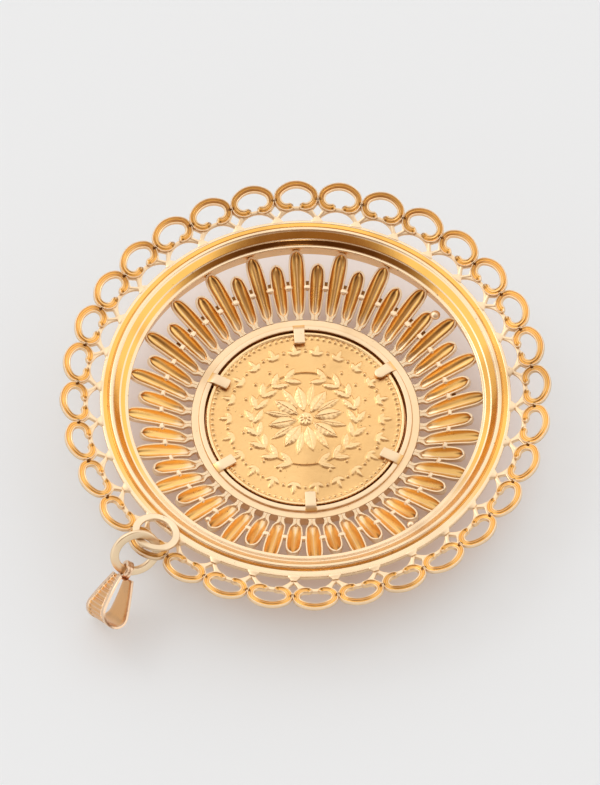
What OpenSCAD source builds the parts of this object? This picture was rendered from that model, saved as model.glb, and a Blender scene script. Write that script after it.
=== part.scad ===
// Coin pendant lying on its face, hollow back up: a gold coin held by a claw bezel, a dished sunburst
// of hollow petals, a stepped rim ring, an open scroll border, and a jump ring and bail at one side.
// Millimetres, +Z up. The origin is on the surface it lies on, in the middle of the whole footprint,
// which the bail makes longer on one side. The modules are written round the coin's own axis.

/* [Coin] */
// Diameter of the coin
coin_d = 21;              // [20.8:0.1:21.1]
// Thickness of the coin
coin_t = 1.3;             // [1.2:0.05:1.3]
// Height of the raised design on both faces of the coin
relief_h = 0.14;          // [0.08:0.02:0.2]
// Leaves in the wreath on the back of the coin
wreath_leaves = 18;       // [12:2:20]

/* [Claws] */
// Number of claws bent over the coin
claw_count = 6;           // [4:1:8]
// Width of a claw
claw_w = 1.17;            // [0.9:0.05:1.4]
// Length of a claw over the coin, from the coin's edge inward
claw_len = 1.5;           // [1:0.1:1.8]

/* [Sunburst] */
// Pairs of petals, each pair a long one and a short one
petal_pairs = 24;         // [20:1:24]
// Width of the hollow in a petal
hollow_w = 1.06;          // [0.8:0.02:1.1]
// Depth of the hollow in a petal
hollow_d = 0.6;           // [0.3:0.05:0.65]

/* [Scroll border] */
// Number of scrolls round the border
scroll_count = 32;        // [32:1:32]
// Width of a scroll's wire
scroll_w = 0.72;          // [0.62:0.02:0.76]
// Rise of the border outward, in degrees
border_rise = 16;         // [14:0.5:17]

/* [Hanging parts] */
// Wire thickness of the jump ring
jump_wire = 0.76;         // [0.7:0.02:0.78]
// Thickness of the bail's strip
bail_wall = 0.35;         // [0.3:0.05:0.5]

/* [Hidden] */
$fn = 48;
eps = 0.02;
// Soldered seams between two nodes keep this hairline.
seam = 0.03;

// Heights above the surface it lies on
lip_t = 0.5;
coin_z = lip_t + 0.05;
back_z = 1.85;
coin_r = coin_d / 2;
coin_rim = 0.55;
claw_t = 0.27;
claw_at = 34.3;

// Bezel radii
bez_in = 10.82;
bez_lip = 11.28;
bez_out = 12.1;

// Petals follow one arc in section, from the bezel up to under the rim ring.
arc_r = 14.85;
arc_c = [22.41, -9.66];
shell_t = 0.95;
foot_r = bez_out + seam;
short_r = 17.64;
long_r = 19.02;
long_at = 3.17;
end_r = 0.88;
bar_r = 15.15;
bar_w = 0.4;

// Rim ring and scroll border
ring_in = 18.65;
ring_out = 21.65;
border_in = ring_out + seam;
border_r = 24.08;
border_z = 7.05;
border_t = 0.5;
scroll_phase = 2.5;
scroll_rim = 0.17;
scroll_groove = 0.18;

// One scroll: two side arcs, a top arc tangent to them and the angle where the curls end
side_r = 1.0;
side_x = 1.02;
top_drop = 1.159;
top_r = sqrt(side_x * side_x + top_drop * top_drop) + side_r;
top_a = atan2(top_drop, side_x);
curl_a = 112;

// Arch: centre inside the contact radius, mean radius, width, and the heights of its faces
arch_y = -3.52;
arch_r = 2.43;
arch_w = 0.44;
arch_low = 0.46;
arch_top = 0.08;

// Fixed ring, jump ring and bail, where they lie
fixed_side = -132.2;
fixed_at = [-15.46, -17.03, 7.75];
fixed_tilt = 17;
fixed_t = 0.36;
fixed_in = 1.73;
fixed_out = 2.5;
fixed_drop = 0.3;
fixed_foot_in = 0.55;
fixed_foot_out = 0.85;
jump_at = [-17.572, -19.028, 7.088];
jump_r = 2.267;
jump_el = 25.13;
jump_az = -68.64;
bail_at = [-18.564, -20.241, 5.449];
bail_turn = [34.12, -26.74, 61.97];
bail_fold_r = 1.456;
bail_fold_x = -4.461;
bail_tip_x = 0.75;
bail_w = 6.94;
bail_tip_w = 1.5;
bail_eye_r = 0.62;

// The coin's axis in the part's frame
coin_axis = [0, 0.5, 0];

// Places its child round the axis: count copies from angle a0
module around(count, a0 = 0) {
    for (i = [0 : count - 1])
        rotate([0, 0, a0 + i * 360 / count])
            children();
}

// Flat sector of a ring band: mean radius r, width w, from angle a0 to a1
module band(r, w, a0, a1) {
    far = 2 * (r + w);
    mid = (a0 + a1) / 2;
    intersection() {
        difference() {
            circle(r = r + w / 2);
            circle(r = r - w / 2);
        }
        polygon([[0, 0],
            [far * cos(a0), far * sin(a0)],
            [far * cos((a0 + mid) / 2), far * sin((a0 + mid) / 2)],
            [far * cos(mid), far * sin(mid)],
            [far * cos((a1 + mid) / 2), far * sin((a1 + mid) / 2)],
            [far * cos(a1), far * sin(a1)]]);
    }
}

// Pointed leaf outline along X, as the overlap of two circles
module leaf(len, w) {
    r = (len * len / 4 + w * w / 4) / w;
    intersection() {
        translate([0, r - w / 2]) circle(r = r);
        translate([0, w / 2 - r]) circle(r = r);
    }
}

// Raised design shared by both faces, drawn flat: beads at the edge, a wreath and a rosette
module coin_design(leaves, petals) {
    for (i = [0 : leaves - 1])
        rotate(i * 360 / leaves)
            translate([6.9, 0])
                rotate(58)
                    leaf(2.5, 1.1);
    difference() {
        circle(r = 8.6);
        circle(r = 8.4);
    }
    for (i = [0 : petals - 1])
        rotate(i * 360 / petals)
            translate([2.6, 0])
                leaf(3.4, 1.5);
    circle(r = 0.8);
}

module coin() {
    field = relief_h;
    color([0.88, 0.69, 0.4])
        translate([0, 0, coin_z]) {
            difference() {
                cylinder(r = coin_r, h = coin_t, $fn = 96);
                translate([0, 0, coin_t - field])
                    cylinder(r = coin_r - coin_rim, h = 1);
                translate([0, 0, field - 1])
                    cylinder(r = coin_r - coin_rim, h = 1);
            }
            translate([0, 0, coin_t - field - eps])
                linear_extrude(field)
                    coin_design(wreath_leaves, 8);
            translate([0, 0, eps])
                linear_extrude(field)
                    coin_design(wreath_leaves, 12);
        }
}

module claw() {
    translate([coin_r - claw_len, -claw_w / 2, back_z + seam])
        cube([bez_lip - coin_r + claw_len, claw_w, claw_t]);
}

module claw_bezel() {
    color([0.94, 0.8, 0.58])
        union() {
            rotate_extrude($fn = 96)
                polygon([[9.9, 0], [11.6, 0], [bez_out, 0.35], [bez_out, back_z - 0.1],
                    [bez_lip + 0.04, back_z - 0.17], [bez_lip, back_z + 0.1],
                    [bez_in, back_z + 0.1], [bez_in, lip_t], [9.9, lip_t - 0.1]]);
            around(claw_count, claw_at)
                claw();
        }
}

// Section of the curved petal shell, under the rim line
module shell_section() {
    intersection() {
        difference() {
            translate(arc_c) circle(r = arc_r);
            translate(arc_c) circle(r = arc_r - shell_t);
        }
        translate([13, 0]) square([long_r - 13, 6]);
    }
}

// Section of the feet on the bezel
module foot_section() {
    polygon([[foot_r, back_z - 0.1], [13, back_z - 0.05], [13.4, back_z + 0.05],
        [13.4, 1.3], [foot_r, 0.9]]);
}

// Outline of one petal seen from above, along X
module petal_plan(tip) {
    end = end_r;
    polygon([[foot_r - 0.5, -0.2], [foot_r + 0.05, -0.35], [13.2, -0.71], [15.4, -0.9],
        [tip - end, -end], [tip - end, end],
        [15.4, 0.9], [13.2, 0.71], [foot_r + 0.05, 0.35], [foot_r - 0.5, 0.2]]);
    translate([tip - end, 0]) circle(r = end);
}

// Outline of the hollow in a petal, seen from above along X
module hollow_plan(tip) {
    r = hollow_w / 2;
    x0 = 13.62;
    x1 = tip - end_r;
    translate([x0, 0]) circle(r = r - 0.05);
    translate([x1, 0]) circle(r = r);
    polygon([[x0, 0.05 - r], [x1, -r], [x1, r], [x0, r - 0.05]]);
}

// Section above the floor of the hollows
module hollow_section() {
    difference() {
        translate([12, 0]) square([8, 6]);
        translate(arc_c) circle(r = arc_r - hollow_d);
    }
}

module sunburst() {
    color([0.93, 0.68, 0.34])
        difference() {
            intersection() {
                union() {
                    rotate_extrude($fn = 96) shell_section();
                    rotate_extrude($fn = 96) foot_section();
                }
                linear_extrude(8)
                    union() {
                        around(petal_pairs, long_at) petal_plan(long_r + 0.1);
                        around(petal_pairs, long_at + 180 / petal_pairs) petal_plan(short_r);
                        difference() {
                            circle(r = bar_r + bar_w / 2);
                            circle(r = bar_r - bar_w / 2);
                        }
                    }
            }
            intersection() {
                rotate_extrude($fn = 96) hollow_section();
                linear_extrude(8) {
                    around(petal_pairs, long_at) hollow_plan(long_r);
                    around(petal_pairs, long_at + 180 / petal_pairs) hollow_plan(short_r);
                }
            }
        }
}

module rim_ring() {
    color([0.93, 0.76, 0.5])
        rotate_extrude($fn = 128)
            polygon([[ring_in, 5.79], [19.02, 5.91], [19.55, 6.22], [20.14, 6.8], [20.32, 6.92],
                [20.6, 6.9], [20.86, 6.45], [21.2, 6.42], [21.45, 6.56], [ring_out, 6.55],
                [ring_out, 6.0], [20.75, 5.7], [20.2, 4.9], [20, 3.9], [long_r + seam, 3.75],
                [long_r + seam, 5.4], [ring_in, 5.55]]);
}

// One scroll seen from above: a top arc, two side arcs and two curled-in round ends.
// The local Y points outward and y = 0 is on the border's contact radius.
module scroll(w) {
    translate([0, -top_drop])
        band(top_r, w, top_a - eps, 180 - top_a + eps);
    for (m = [0, 1])
        mirror([m, 0, 0]) {
            translate([side_x, 0])
                band(side_r, w, -curl_a, top_a);
            translate([side_x - side_r * sin(curl_a - 90), -side_r * cos(curl_a - 90)])
                circle(r = w / 2 - 0.01);
        }
}

// Low arch that carries one scroll, its feet on the rim ring and just clear of the next arch
module arch() {
    axis_y = -border_r / cos(border_rise);
    slope = tan(180 / scroll_count) * cos(border_rise);
    near = slope * (-3 - axis_y) - seam;
    far = slope * -axis_y - seam;
    intersection() {
        translate([0, arch_y])
            difference() {
                circle(r = arch_r + arch_w / 2);
                circle(r = arch_r - arch_w / 2);
            }
        polygon([[-near, -3], [near, -3], [far, 0], [-far, 0]]);
    }
}

// One scroll with its channel and its arch, tilted to the rise of the border
module scroll_unit() {
    translate([border_r, 0, border_z])
        rotate([0, -border_rise, 0])
            rotate([0, 0, -90]) {
                difference() {
                    translate([0, 0, -border_t])
                        linear_extrude(border_t) scroll(scroll_w);
                    translate([0, 0, -scroll_groove])
                        linear_extrude(1) scroll(scroll_w - 2 * scroll_rim);
                }
                translate([0, 0, -arch_low])
                    linear_extrude(arch_low - arch_top) arch();
            }
}

// Drop of solder where two scrolls touch
module contact_drop() {
    translate([border_r, 0, border_z - 0.42])
        cylinder(r = 0.3, h = 0.34);
}

module scroll_border() {
    color([0.95, 0.8, 0.56])
        difference() {
            union() {
                around(scroll_count, scroll_phase)
                    scroll_unit();
                around(scroll_count, scroll_phase + 180 / scroll_count)
                    contact_drop();
            }
            cylinder(r = border_in, h = 20, $fn = 96);
        }
}

// Flat ring over one scroll, with a solder drop down to the rim ring and one down to the scroll
module fixed_ring() {
    h = fixed_t / 2;
    mid = 2.08;
    color([0.95, 0.82, 0.6])
        translate(fixed_at)
            rotate([0, 0, fixed_side])
                rotate([0, -fixed_tilt, 0]) {
                    rotate_extrude()
                        polygon([[fixed_in + 0.04, -h], [fixed_out - 0.06, -h], [fixed_out, 0.06 - h],
                            [fixed_out, h - 0.08], [fixed_out - 0.08, h], [fixed_in + 0.07, h],
                            [fixed_in, h - 0.08], [fixed_in, 0.06 - h]]);
                    translate([-mid, 0, -fixed_foot_in]) cylinder(r = fixed_drop, h = fixed_foot_in);
                    translate([mid, 0, -fixed_foot_out]) cylinder(r = fixed_drop, h = fixed_foot_out);
                }
}

module jump_ring() {
    color([0.95, 0.82, 0.6])
        translate(jump_at)
            rotate([0, 90 - jump_el, jump_az])
                rotate_extrude()
                    translate([jump_r, 0]) circle(r = jump_wire / 2);
}

// Side of the folded strip: a fold of radius r round [x0, 0], then two bulging legs up to [x1, +-y1]
function leg(r, x0, x1, y1, bulge, k) =
    [(1 - k) * (x0 + r * cos(80)) + k * x1, (1 - k) * r * sin(80) + k * y1 + 4 * bulge * k * (1 - k)];
module fold_plan(r, x0, x1, y1, bulge) {
    up = [for (k = [0 : 0.125 : 1]) leg(r, x0, x1, y1, bulge, k)];
    down = [for (k = [1 : -0.125 : 0]) let(p = leg(r, x0, x1, y1, bulge, k)) [p[0], -p[1]]];
    round_part = [for (a = [-90 : -10 : -270]) [x0 + r * cos(a), r * sin(a)]];
    polygon(concat(up, down, round_part));
}

// Folded strip, wide at the fold and narrow at the eye that the jump ring passes through
module bail() {
    low = bail_fold_x - bail_fold_r;
    taper = (bail_w - bail_tip_w) / (bail_tip_x - low) / 2;
    eye_w = bail_tip_w / 2 + taper * bail_tip_x;
    color([0.92, 0.74, 0.48])
        translate(bail_at)
            rotate(bail_turn)
                difference() {
                    intersection() {
                        translate([0, 0, -4])
                            linear_extrude(8)
                                difference() {
                                    fold_plan(bail_fold_r, bail_fold_x, bail_tip_x, 0.4, 0.12);
                                    fold_plan(bail_fold_r - bail_wall, bail_fold_x, -0.55, 0.1, 0.15);
                                }
                        rotate([90, 0, 0])
                            translate([0, 0, -3])
                                linear_extrude(6)
                                    union() {
                                        polygon([[low, -bail_w / 2], [0, -eye_w], [0, eye_w], [low, bail_w / 2]]);
                                        circle(r = eye_w);
                                    }
                    }
                    rotate([90, 0, 0])
                        cylinder(r = bail_eye_r, h = 6, center = true);
                }
}

translate(coin_axis) coin();
translate(coin_axis) claw_bezel();
translate(coin_axis) sunburst();
translate(coin_axis) rim_ring();
translate(coin_axis) scroll_border();
translate(coin_axis) fixed_ring();
translate(coin_axis) jump_ring();
translate(coin_axis) bail();
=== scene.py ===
# %% [markdown]
# # A gold coin pendant, seen from its hollow back
# The pendant lies face down. A coin sits in a claw bezel, a dished sunburst of hollow petals rises from it
# to a stepped rim ring, and an open border of scrolls runs round the outside. A fixed ring, a jump ring and a
# folded bail lie at the near left. The packed solids are loaded first, because they fix every size and place.
# The visible pieces are then built over them as finer meshes. Lengths in this file are millimetres until a
# mesh is made, and MM turns them into Blender's metres.

# %% Start from the packed solids
import bmesh
import bpy
import math
import numpy as np
from mathutils import Matrix, Vector


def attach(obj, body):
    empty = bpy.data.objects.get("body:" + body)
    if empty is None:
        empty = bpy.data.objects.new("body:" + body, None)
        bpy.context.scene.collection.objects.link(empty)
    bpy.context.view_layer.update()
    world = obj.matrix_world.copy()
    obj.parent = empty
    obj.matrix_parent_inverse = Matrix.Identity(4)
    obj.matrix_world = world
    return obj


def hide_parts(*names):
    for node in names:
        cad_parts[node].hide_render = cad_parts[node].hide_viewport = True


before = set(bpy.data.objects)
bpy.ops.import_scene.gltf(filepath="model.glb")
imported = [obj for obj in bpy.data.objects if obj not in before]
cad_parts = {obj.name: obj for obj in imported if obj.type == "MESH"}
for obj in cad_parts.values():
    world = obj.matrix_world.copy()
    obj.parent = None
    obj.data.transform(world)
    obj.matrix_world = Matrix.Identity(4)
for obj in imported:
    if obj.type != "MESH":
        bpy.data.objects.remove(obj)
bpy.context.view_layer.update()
MM = 0.001
COIN_AXIS = np.array([0.0, 0.5, 0.0])

# %% [markdown]
# ## The camera
# The photo looks down at about 60 degrees through a long lens. The distance and the focal length come from
# fitting the circles of the coin, the rim and the border to the picture, so the ellipses open correctly. The
# camera could be aimed with a constraint, but two rotations from a point to aim at say the same in two lines.

# %% Camera at the photo's angle
ELEVATION = math.radians(60.213)
DISTANCE = 590.0
PHOTO_WIDTH = 600
FOCAL_PIXELS = 5557.2
SENSOR = 36.0
ROLL = math.radians(0.113)
BACK_Z = 1.85
AIM = np.array([-0.594, 3.58, BACK_Z])


def make_camera():
    """A camera that looks at AIM from the photo's elevation."""
    data = bpy.data.cameras.new("camera")
    data.sensor_fit = "HORIZONTAL"
    data.sensor_width = SENSOR
    data.lens = FOCAL_PIXELS / PHOTO_WIDTH * SENSOR
    data.clip_start = 0.01
    camera = bpy.data.objects.new("camera", data)
    bpy.context.scene.collection.objects.link(camera)
    back = np.array([0.0, -math.cos(ELEVATION), math.sin(ELEVATION)])
    place = Matrix.Translation((AIM + DISTANCE * back) * MM)
    pitch_down = Matrix.Rotation(math.pi / 2 - ELEVATION, 4, "X")
    camera.matrix_world = place @ pitch_down @ Matrix.Rotation(ROLL, 4, "Z")
    bpy.context.scene.camera = camera
    return camera


camera = make_camera()
print("camera at", [round(v, 4) for v in camera.location], "lens", round(camera.data.lens, 1))

# %% [markdown]
# ## Skins from rows of points
# Every piece is made of closed skins. A skin is a grid of points: each row is one closed section, and rows
# follow a path or go round the axis. Curves with a bevel could sweep a section too, but points let the
# section change along the way. Each point also has a tone, which the gold reads later: below 0 is a filed
# edge, 0 is pale, from wear or as a painted highlight, 1 is the deep colour of a hollow, and above 1.15 it
# turns brown, which is real stain in some places and painted shade in others.

# %% Rows of points become a skin
def grid_faces(rows, columns, wrap_rows):
    """Four-sided faces between neighbouring points; each row closes on itself."""
    faces = []
    for i in range(rows if wrap_rows else rows - 1):
        for j in range(columns):
            a = i * columns + j
            b = i * columns + (j + 1) % columns
            c = ((i + 1) % rows) * columns + (j + 1) % columns
            d = ((i + 1) % rows) * columns + j
            faces.append((a, b, c, d))
    return faces


def swept(sections, depths, closed=False):
    """Joins rows of section points into a skin, with flat ends where it isn't closed."""
    rows, columns = sections.shape[:2]
    faces = grid_faces(rows, columns, closed)
    if not closed:
        faces.append(tuple(range(columns))[::-1])
        faces.append(tuple((rows - 1) * columns + j for j in range(columns)))
    return sections.reshape(-1, 3), faces, np.asarray(depths, float).reshape(-1)


def one_tone(rows, tone, closed=False):
    """A skin whose points all have the same tone."""
    rows = np.array(rows)
    return swept(rows, np.full(rows.shape[:2], tone), closed)


example = one_tone(np.zeros((3, 4, 3)), 0.0)
print("three sections of four points make", len(example[1]), "faces, two of them ends")

# %% [markdown]
# ## Copies round the axis
# Petals, bars and scrolls repeat round the coin. An Array modifier with a turned object would do it, but then
# the copies could not differ. These helpers turn and join plain arrays of points instead, and can bend a copy
# up a little at its outside, because the real border isn't quite flat.

# %% Turn, repeat and join
BEND_FROM = 21.7
BEND_OVER = 4.7


def turned(points, angle):
    """Turns points round the vertical axis."""
    c, s = math.cos(angle), math.sin(angle)
    turn = np.array([[c, -s, 0], [s, c, 0], [0, 0, 1]])
    return np.asarray(points) @ turn.T


def repeated(part, angles, lift=None):
    """Copies one part round the axis, at each angle in degrees, bent up toward the outside by lift."""
    points, faces, depths = part
    n = len(points)
    copies = []
    for a in angles:
        copy = np.array(points)
        if lift:
            radius = np.hypot(copy[:, 0], copy[:, 1])
            copy[:, 2] += lift(a) * np.clip((radius - BEND_FROM) / BEND_OVER, 0, 1)
        copies.append(turned(copy, math.radians(a)))
    all_points = np.vstack(copies)
    all_faces = [tuple(v + k * n for v in face) for k in range(len(angles)) for face in faces]
    return all_points, all_faces, np.tile(depths, len(angles))


def joined(parts):
    """Several skins as one list of points, faces and tones."""
    points, faces, depths, offset = [], [], [], 0
    for p, f, d in parts:
        points.append(p)
        faces += [tuple(v + offset for v in face) for face in f]
        depths.append(d)
        offset += len(p)
    return np.vstack(points), faces, np.concatenate(depths)


print("four copies of the example have", len(repeated(example, [0, 90, 180, 270])[0]), "points")

# %% [markdown]
# ## From points to a piece
# A piece is one object. Its mesh is cleaned with bmesh, shaded smooth and kept sharp where two faces meet
# at a clear angle, which costs no extra faces, unlike a Bevel modifier. The piece rides on the pendant's one
# body and replaces the plain solid of the same part.

# %% Make one object
def make_piece(name, part, node, slot, finish, sharp=38.0, merge=True):
    """Makes the mesh object in metres, smooth except at edges sharper than the given angle."""
    points, faces, depths = part
    mesh = bpy.data.meshes.new(name)
    mesh.from_pydata(((points + COIN_AXIS) * MM).tolist(), [], faces)
    hollow = mesh.attributes.new("hollow", "FLOAT", "POINT")
    hollow.data.foreach_set("value", depths.astype(np.float32))
    if merge:
        bm = bmesh.new()
        bm.from_mesh(mesh)
        bmesh.ops.remove_doubles(bm, verts=bm.verts, dist=1e-6)
        bmesh.ops.dissolve_degenerate(bm, edges=bm.edges, dist=1e-7)
        bmesh.ops.recalc_face_normals(bm, faces=bm.faces)
        bm.to_mesh(mesh)
        bm.free()
    mesh.shade_smooth()
    mesh.set_sharp_from_angle(angle=math.radians(sharp))
    piece = bpy.data.objects.new(name, mesh)
    bpy.context.scene.collection.objects.link(piece)
    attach(piece, "root")
    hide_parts(node)
    mesh.materials.append(finish)
    print(name, len(mesh.vertices), "points", len(mesh.polygons), "faces")


print("every point moves by", COIN_AXIS.tolist(), "mm, because the coin's axis isn't at the origin")

# %% [markdown]
# ## Shader maths in Python
# A material is easier to read as an expression than as a web of nodes. This class wraps one socket, so that
# a + b or 1 - mask adds the Math node that does it. The reflected forms are there for a number on the left.

# %% A socket that can be calculated with
class Value:
    """One output socket of a material."""

    def __init__(self, paint, socket):
        self.paint = paint
        self.socket = socket

    def maths(self, operation, a, b=0.0):
        return self.paint.add("ShaderNodeMath", {"operation": operation}, [a, b])

    def __add__(self, other):
        return self.maths("ADD", self, other)

    def __radd__(self, other):
        return self.maths("ADD", other, self)

    def __sub__(self, other):
        return self.maths("SUBTRACT", self, other)

    def __rsub__(self, other):
        return self.maths("SUBTRACT", other, self)

    def __mul__(self, other):
        return self.maths("MULTIPLY", self, other)

    def __rmul__(self, other):
        return self.maths("MULTIPLY", other, self)

    def __pow__(self, other):
        return self.maths("POWER", self, other)


print("a Value takes + - * and **, with a number on either side of the first three")

# %% [markdown]
# ## Any other node
# One method adds a node of any type, gives it its settings first, because they can change its sockets, and
# then sets or links the sockets. A few short methods on top of it name what the golds need: a smooth step,
# noise, a blend of two colours and a bump.

# %% Nodes of one material
class Paint:
    """The nodes of one material or of the room."""

    def __init__(self, owner):
        self.material = owner
        owner.use_nodes = True
        self.tree = owner.node_tree
        self.shader = self.tree.nodes.get("Principled BSDF")

    def add(self, kind, settings=None, values=None, output=0):
        """Adds a node: its type, its settings, the values or links of its sockets, and the output to use."""
        node = self.tree.nodes.new(kind)
        for key, setting in (settings or {}).items():
            setattr(node, key, setting)
        items = values.items() if isinstance(values, dict) else enumerate(values or [])
        for key, value in items:
            self.feed(node.inputs[key], value)
        return Value(self, node.outputs[output])

    def feed(self, socket, value):
        """Links a value to a socket, or sets the socket to a plain number or colour."""
        if isinstance(value, Value):
            self.tree.links.new(value.socket, socket)
        else:
            socket.default_value = value

    def range(self, value, low, high):
        """A smooth step from 0 where value is low to 1 where it is high."""
        settings = {"clamp": True, "interpolation_type": "SMOOTHSTEP"}
        return self.add("ShaderNodeMapRange", settings, [value, low, high])

    def noise(self, place, scale, detail):
        """Cloudy noise from 0 to 1; scale counts its blobs in a metre."""
        values = {"Vector": place, "Scale": scale, "Detail": detail, "Roughness": 0.55}
        return self.add("ShaderNodeTexNoise", {}, values, output="Fac")

    def blend(self, mask, low, high):
        """The colour low where the mask is 0 and high where it is 1."""
        colours = [(*c, 1.0) if isinstance(c, tuple) else c for c in (low, high)]
        values = {0: mask, 6: colours[0], 7: colours[1]}
        return self.add("ShaderNodeMix", {"data_type": "RGBA"}, values, output=2)

    def bump(self, height, strength, distance):
        """A normal that leans as if the surface had the given height."""
        values = {"Height": height, "Strength": strength, "Distance": distance}
        return self.add("ShaderNodeBump", {}, values)


print("nodes of a finish:", [word for word in vars(Paint) if not word.startswith("__")])

# %% [markdown]
# ## The gold finishes
# The metal is one family of gold. Edges and rims have been rubbed pale and satin, hollows keep a deep orange
# tone, and old polish has left faint brown patches and dark specks. The same brown also paints shade where a
# piece stores a very high tone. Edges that were filed are rough and scatter light like a paler, less metallic
# surface. The stored tone chooses between these, slow noise varies it, and fine noise breaks up the shine and
# roughens the surface a little.

# %% Gold with worn edges and deep hollows
STAIN = (0.22, 0.15, 0.12)
FILED = (1.0, 0.8, 0.53)


def gold(name, pale, deep, rough_pale, rough_deep, brown=0.35, bump=0.00002, specks=0.5):
    """One finish: its two colours, their roughness, and how strong the patches, bumps and specks are."""
    paint = Paint(bpy.data.materials.new(name))
    place = paint.add("ShaderNodeTexCoord", {}, {}, output="Object")
    hollow = paint.add("ShaderNodeAttribute", {"attribute_name": "hollow"}, {}, output="Fac")
    cloud = paint.noise(place, 260.0, 4.0)
    patch = paint.noise(place, 90.0, 3.0)
    fine = paint.noise(place, 2700.0, 4.0)
    spots = paint.range(paint.noise(place, 2000.0, 3.0), 0.68, 0.76) * specks
    depth = paint.range(hollow + (cloud - 0.5) * 0.3, 0.15, 0.85)
    base = paint.blend(depth, pale, deep)
    stain = paint.range(patch + depth * 0.06, 0.56, 0.78) * brown
    # Very high stored tones turn brown too: painted shade on some pieces, stain where the noise adds to them.
    stain = stain.maths("MAXIMUM", stain, paint.range(hollow + (cloud - 0.5) * 0.5, 1.15, 1.75))
    stain = stain.maths("MAXIMUM", stain, spots)
    colour = paint.blend(stain, base, tuple(part * share for part, share in zip(deep, STAIN)))
    filed = paint.range(hollow, -0.02, -0.2)
    paint.feed(paint.shader.inputs["Base Color"], paint.blend(filed, colour, FILED))
    paint.feed(paint.shader.inputs["Metallic"], 1.0 - filed * 0.7)
    roughness = rough_pale + depth * (rough_deep - rough_pale) + (cloud - 0.5) * 0.16 + (fine - 0.5) * 0.1
    roughness = roughness + filed * 0.3
    paint.feed(paint.shader.inputs["Roughness"], roughness)
    height = fine * 0.6 + cloud * 1.4
    paint.feed(paint.shader.inputs["Normal"], paint.bump(height, 0.35, bump))
    return paint.material


print("the recipe for gold takes", gold.__code__.co_argcount, "values")

# %% [markdown]
# ## Seven golds from one recipe
# The pieces were made and polished in different ways, so each has its own pair of colours. The coin's gold is
# yellower and dull in its field, the rim is turned and shines most, the petals are matt and orange inside,
# the loose rings are pale, and the bail is redder and browner than the rest.

# %% The finishes of the pieces
PALE = (0.90, 0.67, 0.42)
satin_gold = gold("satin_gold", PALE, (0.88, 0.50, 0.16), 0.36, 0.30)
petal_gold = gold("petal_gold", (0.93, 0.71, 0.47), (0.93, 0.56, 0.18), 0.36, 0.30, specks=0.8)
ring_gold = gold("ring_gold", (0.90, 0.70, 0.46), (0.84, 0.52, 0.22), 0.32, 0.28, brown=0.2)
coin_gold = gold("coin_gold", (0.93, 0.645, 0.33), (0.85, 0.52, 0.21), 0.25, 0.36,
                 brown=0.22, bump=0.00016, specks=0.9)
rim_gold = gold("rim_gold", PALE, (0.92, 0.50, 0.12), 0.24, 0.16, brown=0.3, bump=0.00001)
bail_gold = gold("bail_gold", (0.84, 0.60, 0.40), (0.80, 0.40, 0.11), 0.28, 0.2, brown=0.5)
border_gold = gold("border_gold", PALE, (0.84, 0.44, 0.11), 0.36, 0.30)
finishes = [satin_gold, petal_gold, ring_gold, coin_gold, rim_gold, bail_gold, border_gold]
print("gold finishes:", [finish.name for finish in finishes])

# %% [markdown]
# ## Leaves and dots of the coin's relief
# A struck coin is a disc with a raised edge and a low relief. The relief could be a bump in the material, but
# then the light would not catch real slopes. It is a height for each point of a fine round grid instead. Two
# shapes make the whole design: a pointed leaf with a rib and fine veins, and a round dot.

# %% Heights of a leaf and a dot
COIN_R = 10.5
COIN_FRONT = 0.55
COIN_T = 1.3
RELIEF = 0.2


def leaf_height(x, y, root, angle, length, width, veins=5):
    """Height from 0 to 1 of a pointed leaf that starts at root and runs along angle."""
    u = (x - root[0]) * math.cos(angle) + (y - root[1]) * math.sin(angle)
    v = -(x - root[0]) * math.sin(angle) + (y - root[1]) * math.cos(angle)
    t = np.clip(u / length, 0.0, 1.0)
    half = width / 2 * np.sin(math.pi * t) ** 0.8 + 1e-6
    inside = np.clip(1 - np.abs(v) / half, 0.0, 1.0) * ((u > 0) & (u < length))
    rib = 1 - 0.45 * np.exp(-(v / 0.06) ** 2)
    side = 0.94 + 0.06 * np.cos(2 * math.pi * veins * t - 5 * np.abs(v) / width)
    return np.sqrt(inside) * rib * side


def dot_height(x, y, centre, radius):
    """Height from 0 to 1 of a round dot."""
    d = np.hypot(x - centre[0], y - centre[1]) / radius
    return np.sqrt(np.clip(1 - d * d, 0.0, 1.0))


def polar(radius, degrees):
    """The point at a radius and an angle."""
    return (radius * math.cos(math.radians(degrees)), radius * math.sin(math.radians(degrees)))


middle = leaf_height(np.array([0.5]), np.array([0.2]), (0.0, 0.0), 0.0, 1.0, 0.8)
print("beside its rib a leaf is", round(float(middle[0]), 2), "of its full height")

# %% [markdown]
# ## The design
# Both faces carry a plain design of this lesson's own: beads inside the edge, a ring of small sprigs with
# dots between them, two leafy branches and a rosette. np.maximum lays one shape over another, so where leaves
# cross, the higher one shows, as it would on a die.

# %% Beads, sprigs, branches and rosette
BEADS = 96
BEAD_RING = 9.86
SPRIG_RING = 7.75
BRANCH_RING = 5.6


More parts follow.
